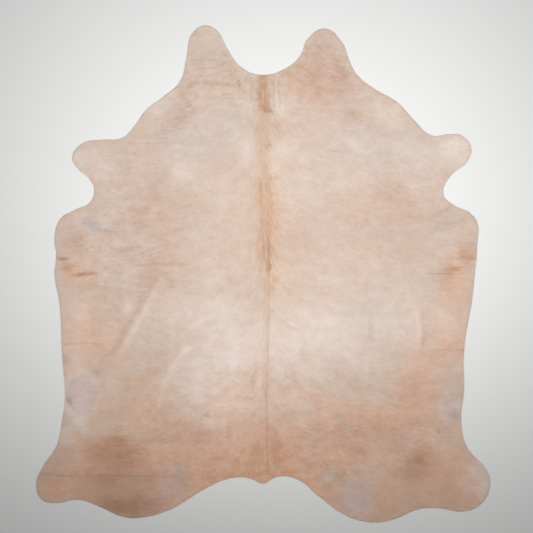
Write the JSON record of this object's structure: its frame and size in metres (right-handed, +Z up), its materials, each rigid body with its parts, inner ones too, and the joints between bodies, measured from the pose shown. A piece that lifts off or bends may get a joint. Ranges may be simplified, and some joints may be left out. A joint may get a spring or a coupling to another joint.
{
  "type": "leather hide rug",
  "caption": "A whole hair-on cowhide rug, pale champagne, spread flat with its neck, legs and tail, to lie on a floor as a covering.",
  "frame": {"origin": "centre of the hide's outline box, on the flesh side where it rests on the floor", "axes": "+Z up, out of the hair side; +Y from the tail towards the neck; +X to the right seen from above with the neck at the top"},
  "size_m": [2.1302, 2.3312, 0.0073],
  "materials": {
    "hair_on_hide": "short soft hair lying flat, low sheen, on tanned leather"
  },
  "bodies": {
    "root": {"hide": "hair_on_hide"}
  },
  "joints": []
}
